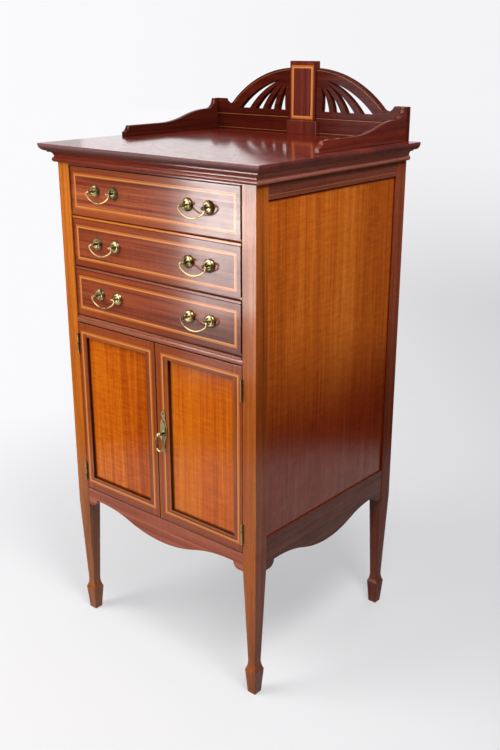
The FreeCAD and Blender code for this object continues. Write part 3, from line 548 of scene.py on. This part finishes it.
# Drawers; the upper one has faded most, and its bottom board has worn pale
dress(wood("drawer_mahogany", *DRAWER_RED, "x", inlay=drawer_inlay, shade_and_tone=drawer_gap_shade_and_tone, cloud=1.1,
           stripe=0.8), "lower_drawer_front", "middle_drawer_front")
dress(wood("faded_drawer_mahogany", *FADED_RED, "x", inlay=drawer_inlay, shade_and_tone=drawer_gap_shade_and_tone,
           cloud=0.9, stripe=0.8), "upper_drawer_front")
dress(wood("tray_mahogany", *RAIL_RED, "x", shade_and_tone=tray_inside, shade_and_tone_colour=UNPOLISHED),
      "lower_drawer_base", "middle_drawer_base")
dress(wood("worn_tray_mahogany", *LEFT_POST, "x", shade_and_tone=tray_inside, shade_and_tone_colour=UNPOLISHED),
      "upper_drawer_base")

# Rails, aprons, top and gallery
dress(wood("apron_mahogany", *APRON_RED, "x", shade_and_tone=apron_painted_shade), "front_apron")
dress(wood("rail_mahogany", *RAIL_RED, "x"), "front_top_rail", "cupboard_rail")
dress(wood("side_rail_mahogany", *RETURN_RED, "y", inlay=rail_inlay, bands=0.6), "side_rails")
dress(wood("side_apron_mahogany", *BROWN, "y", coat=0.4), "side_aprons")
dress(wood("top_mahogany", *DARK_RED, "x", rough=0.11, haze=0.4, coat=0.0, worn=top_edge,
           lean=0.046), "top_board")
dress(wood("cornice_mahogany", *CORNICE_RED, "x", coat=0.55), "cornice_front")
# Painted light: the returns' wood is made lighter than the front's
dress(wood("return_mahogany", *LIT_CORNICE_SIDE, "y", coat=0.5), "cornice_returns")
dress(wood("gallery_mahogany", *GALLERY_RED, "y", coat=0.35, shade_and_tone=left_gallery_painted_shade),
      "gallery_sides")
dress(wood("fan_mahogany", *FAN_RED, "x", inlay=fan_inlay, bands=0.5, coat=0.05), "gallery_fans")
# The tablet's inlay is painted darker, as painted shade
dress(wood("tablet_mahogany", *GALLERY_RED, "z", inlay=tablet_inlay, bands=0.8, coat=0.15),
      "gallery_tablet")

# Inside and back
dress(plain_timber("back_timber", tint(92, 60, 36), tint(128, 86, 52), "z"), "back_panel")
dress(plain_timber("frame_timber", tint(96, 62, 36), tint(134, 90, 54), "x"),
      "back_rails", "dust_board", "cupboard_floor")
dress(plain_timber("tray_timber", tint(120, 78, 44), tint(160, 110, 66), "y"),
      "drawer_runners", *pieces_with("_drawer_walls"))


# Softened edges: width of the rounding on the frame and on the finer pieces
FRAME_EDGE = 0.0010
FINE_EDGE = 0.0008


def soften(width, *names):
    """Takes the sharpness off the sawn edges, as sanding and long use do."""
    for name in names:
        weld = nodes[name].modifiers.new("weld", "WELD")
        weld.merge_threshold = 0.00001
        edge = nodes[name].modifiers.new("soft_edge", "BEVEL")
        edge.width = width
        edge.segments = 2
        edge.limit_method = "ANGLE"
        edge.angle_limit = math.radians(40)


soften(FRAME_EDGE, "leg_front_left", "leg_front_right", "leg_back_left", "leg_back_right",
       "front_top_rail")
soften(FINE_EDGE, "side_rails", "gallery_tablet", "gallery_sides", "front_apron", "side_aprons",
       *pieces_with("_door_stiles", "_door_rails", "_drawer_front"))


# Screw heads, each as its radius and its rise above the metal
HINGE_SCREW = (0.0019, 0.00007)
STRAP_SCREW = (0.0019, 0.0002)
PLATE_SCREW = (0.0017, 0.0006)
BRACKET_SCREW = (0.0011, 0.0003)

# Hinges, thicknesses of plates, and where the screws sit on them
HINGE_X = 0.2095
HINGE_HEIGHT = 0.040
LEAF_GAP = 0.0002
LEAF_WIDTH = 0.014
PLATE_THICKNESS = 0.0016
BRACKET_THICKNESS = 0.0015
LEAF_SHARES = (1 / 6, 1 / 2, 5 / 6)
STRAP_PLACES = (0.016, 0.036)
FINIAL_INSET = 0.0065
FOOT_INSET = 0.005
BRACKET_REACH = 0.0031


def screw_heads():
    """Geometry Nodes that set a slotted screw head on each point, facing as its attribute says."""
    tree = bpy.data.node_groups.new("screw_heads", "GeometryNodeTree")
    for name, kind in (("Places", "Geometry"), ("Radius", "Float"), ("Rise", "Float"),
                       ("Metal", "Material")):
        tree.interface.new_socket(name, in_out="INPUT", socket_type="NodeSocket" + kind)
    tree.interface.new_socket("Screws", in_out="OUTPUT", socket_type="NodeSocketGeometry")
    build = Finish(tree)

    def given(name):
        return build.node("NodeGroupInput", {}, give=name)

    def vector(x, y, z):
        return build.node("ShaderNodeCombineXYZ", {}, x, y, z)

    radius, rise = given("Radius"), given("Rise")
    blank = build.node("GeometryNodeMeshCylinder", {}, Vertices=20, Radius=radius, Depth=rise * 2)
    slot = build.node("GeometryNodeMeshCube", {}, vector(radius * 3, radius * 0.3, rise))
    cutter = build.node("GeometryNodeTransform", {}, slot, Translation=vector(0.0, 0.0, rise * 0.7))
    head = build.node("GeometryNodeMeshBoolean", {"operation": "DIFFERENCE"}, Mesh_1=blank,
                      Mesh_2=cutter)
    facing = build.node("GeometryNodeInputNamedAttribute", {"data_type": "FLOAT_VECTOR"}, "facing")
    turned = build.node("FunctionNodeAlignRotationToVector", {"axis": "Z"}, Vector=facing)
    placed = build.node("GeometryNodeInstanceOnPoints", {}, given("Places"), Instance=head,
                        Rotation=turned)
    spin = build.node("FunctionNodeRandomValue", {"data_type": "FLOAT"}, Min_001=0.0,
                      Max_001=math.pi, Seed=5, give=1)
    driven = build.node("GeometryNodeRotateInstances", {}, placed, Rotation=vector(0.0, 0.0, spin))
    plain = build.node("GeometryNodeRealizeInstances", {}, driven)
    metal = build.node("GeometryNodeSetMaterial", {}, plain, Material=given("Metal"))
    build.node("NodeGroupOutput", {}, metal)
    return tree


SCREW_HEADS = screw_heads()


def fit_screws(name, body, size, places):
    """Screw heads on one body, from pairs of a place and the way its screw faces."""
    mesh = bpy.data.meshes.new(name)
    mesh.from_pydata([place for place, _ in places], [], [])
    facing = mesh.attributes.new("facing", "FLOAT_VECTOR", "POINT")
    facing.data.foreach_set("vector", [part for _, way in places for part in way])
    item = bpy.data.objects.new(name, mesh)
    bpy.context.collection.objects.link(item)
    heads = item.modifiers.new("heads", "NODES")
    heads.node_group = SCREW_HEADS
    radius, rise = size
    wanted = {"Radius": radius, "Rise": rise, "Metal": AGED_BRASS}
    for socket in SCREW_HEADS.interface.items_tree:
        if socket.name in wanted:
            heads[socket.identifier] = wanted[socket.name]
    shown = item.evaluated_get(bpy.context.evaluated_depsgraph_get())
    item.data = bpy.data.meshes.new_from_object(shown)
    item.modifiers.remove(heads)
    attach(item, body)


def leaf_screws(side, outwards):
    """Three screws down each hinge leaf; outwards is 1 on the post's leaf, -1 on the door's."""
    lowest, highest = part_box("hinge_pins")
    x = side * (HINGE_X + outwards * LEAF_GAP / 2)
    y = FRONT + LEAF_WIDTH / 2
    return [((x, y, low + HINGE_HEIGHT * share), (-side * outwards, 0, 0))
            for low in (lowest.z, highest.z - HINGE_HEIGHT) for share in LEAF_SHARES]


def strap_screws(name):
    """Two screws in each pivot strap of a drawer."""
    lowest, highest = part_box(name + "_drawer_pivots")
    level = (lowest.z + highest.z) / 2
    return [((side * highest.x, lowest.y + back, level), (side, 0, 0))
            for side in (-1, 1) for back in STRAP_PLACES]


def plate_screws():
    """One screw in the finial of the handle's plate and one in its foot."""
    lowest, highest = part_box("handle_plate")
    middle = (lowest.x + highest.x) / 2
    return [((middle, FRONT - PLATE_THICKNESS, level), (0, -1, 0))
            for level in (highest.z - FINIAL_INSET, lowest.z + FOOT_INSET)]


def bracket_screws():
    """Two screws in the plate of the bolt's bracket, one each side of the bolt."""
    lowest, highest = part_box("bolt_bracket")
    middle = (lowest.x + highest.x) / 2
    level = (lowest.z + highest.z) / 2
    return [((middle + side * BRACKET_REACH, lowest.y + BRACKET_THICKNESS, level), (0, 1, 0))
            for side in (-1, 1)]


fit_screws("frame_hinge_screws", "cabinet", HINGE_SCREW, leaf_screws(-1, 1) + leaf_screws(1, 1))
fit_screws("left_hinge_screws", "left_door", HINGE_SCREW, leaf_screws(-1, -1))
fit_screws("right_hinge_screws", "right_door", HINGE_SCREW, leaf_screws(1, -1))
fit_screws("handle_plate_screws", "right_door", PLATE_SCREW, plate_screws())
fit_screws("bolt_bracket_screws", "left_door", BRACKET_SCREW, bracket_screws())
for drawer in ("lower", "middle", "upper"):
    fit_screws(drawer + "_strap_screws", drawer + "_drawer", STRAP_SCREW, strap_screws(drawer))


# Floor: its radius, how far the shadow reaches and the mirrored light, and its colours, as
# it lights the cabinet, close by, to the left and the right of the studio, and mirrored
FLOOR_RADIUS = 16
SHADOW_REACH = (0.4, 1.4)
MIRROR_REACH = (1.02, 1.28)
FLOOR_BOUNCE = tint(130, 128, 126)
FLOOR_CLOSE = tint(228, 227, 227)
FLOOR_LEFT = tint(250, 250, 252)
FLOOR_RIGHT = tint(210, 210, 213)
FLOOR_MIRRORED = (tint(240, 238, 236), tint(60, 54, 50))

# Walls: colours to the left and the right, mirrored in the front half, and as they light
WALL_LEFT = tint(251, 251, 253)
WALL_RIGHT = tint(242, 242, 244)
WALL_MIRRORED = tint(70, 66, 64)
WALL_BOUNCE = tint(138, 140, 144)

# Camera: its place, its lens, and its turn down and to the left
CAMERA_PLACE = (1.1968, -1.3553, 1.1611)
LENS = 45.87
LOOK_DOWN = math.radians(19.21)
LOOK_LEFT = math.radians(40.26)


def rightwards(x, y):
    """Place along the line that runs from the left to the right of the studio."""
    return x * 0.76 + y * 0.65


def floor():
    """A wide pale floor that keeps the shadow near the cabinet and runs out into the backdrop."""
    bpy.ops.mesh.primitive_circle_add(vertices=96, radius=FLOOR_RADIUS, fill_type="NGON")
    ground = bpy.context.object
    ground.name = "floor"
    material, finish = new_material("pale_floor")
    x, y, _ = finish.axes(finish.place())
    seen = finish.ray("Camera")
    reach = (x * x + y * y).root()
    far = reach.fade(*SHADOW_REACH) * 0.55 + 0.45
    sheet = finish.blend(seen, FLOOR_BOUNCE, FLOOR_CLOSE)
    paper = finish.node("ShaderNodeBsdfDiffuse", {}, Color=sheet)
    distance = (1 / reach).fade(0.06, 0.40) * 0.8 + 0.2
    # Painted shade on the glowing floor: darker to the right, most near the cabinet
    shade = rightwards(x, y).fade(-0.9, 1.5) * distance
    pale = finish.blend(shade, FLOOR_LEFT, FLOOR_RIGHT)
    glow = finish.node("ShaderNodeEmission", {}, Color=pale)
    # Painted reflection: glossy rays see the floor glow bright close by and dim farther off
    mirrored = finish.blend(reach.fade(*MIRROR_REACH), *FLOOR_MIRRORED)
    dim = finish.node("ShaderNodeEmission", {}, Color=mirrored)
    near = finish.node("ShaderNodeMixShader", {}, far * seen, paper, glow)
    surface = finish.node("ShaderNodeMixShader", {}, finish.ray("Glossy"), near, dim)
    finish.node("ShaderNodeOutputMaterial", {}, surface)
    ground.data.materials.append(material)


def backdrop():
    """A pale room, darker where the polish mirrors its front half."""
    world = bpy.data.worlds.new("studio")
    world.use_nodes = True
    bpy.context.scene.world = world
    finish = Finish(world.node_tree)
    x, y, _ = finish.axes(finish.node("ShaderNodeTexCoord", {}, give="Generated"))
    paper = finish.blend(rightwards(x, y).fade(-0.4, 0.4), WALL_LEFT, WALL_RIGHT)
    mirrored = finish.blend(y.fade(-0.4, 0.2), WALL_MIRRORED, paper)
    shown = finish.blend(finish.ray("Camera"), mirrored, paper)
    light = finish.blend(finish.ray("Diffuse"), shown, WALL_BOUNCE)
    finish.node("ShaderNodeOutputWorld", {}, finish.node("ShaderNodeBackground", {}, light, 1.0))


def lamp(name, place, aim, width, height, power, lights=True, gleams=True):
    """A soft rectangular lamp aimed at a point, that lights wood, gleams in its polish, or both."""
    data = bpy.data.lights.new(name, "AREA")
    data.shape = "RECTANGLE"
    data.size = width
    data.size_y = height
    data.energy = power
    item = bpy.data.objects.new(name, data)
    bpy.context.collection.objects.link(item)
    item.location = place
    item.rotation_euler = (Vector(aim) - Vector(place)).to_track_quat("-Z", "Y").to_euler()
    item.visible_camera = False
    item.visible_diffuse = lights
    item.visible_glossy = gleams


def camera():
    data = bpy.data.cameras.new("camera")
    data.sensor_width = 36
    data.lens = LENS
    item = bpy.data.objects.new("camera", data)
    bpy.context.collection.objects.link(item)
    item.location = CAMERA_PLACE
    item.rotation_euler = Euler((math.pi / 2 - LOOK_DOWN, 0, LOOK_LEFT))
    bpy.context.scene.camera = item


floor()
backdrop()
for name, level, height, power in (("upper_window", 0.825, 0.65, 27.0),
                                   ("lower_window", 0.375, 0.25, 6.0),
                                   ("window_sill", 0.135, 0.23, 1.0)):
    lamp(name, (-0.815, -1.61, level), (0.1, -0.2, level), 0.66, height, power, lights=False)
lamp("wall", (-1.20, 1.40, 1.40), (0, 0, 1.0), 1.2, 0.70, 1.5, lights=False)
lamp("soft_front", (-1.2, -2.2, 0.75), (0, -0.2, 0.5), 1.4, 1.2, 25, gleams=False)
lamp("key", (-1.4, -1.8, 2.8), (0, 0, 0.6), 1.5, 1.5, 54)
lamp("fill", (0.92, -0.50, 1.95), (0.2, 0, 0.85), 0.6, 0.6, 24)
lamp("back", (-0.1, 2.4, 1.1), (0, 0, 0.6), 1.4, 1.2, 12, gleams=False)
camera()
bpy.context.scene.view_settings.view_transform = "Standard"
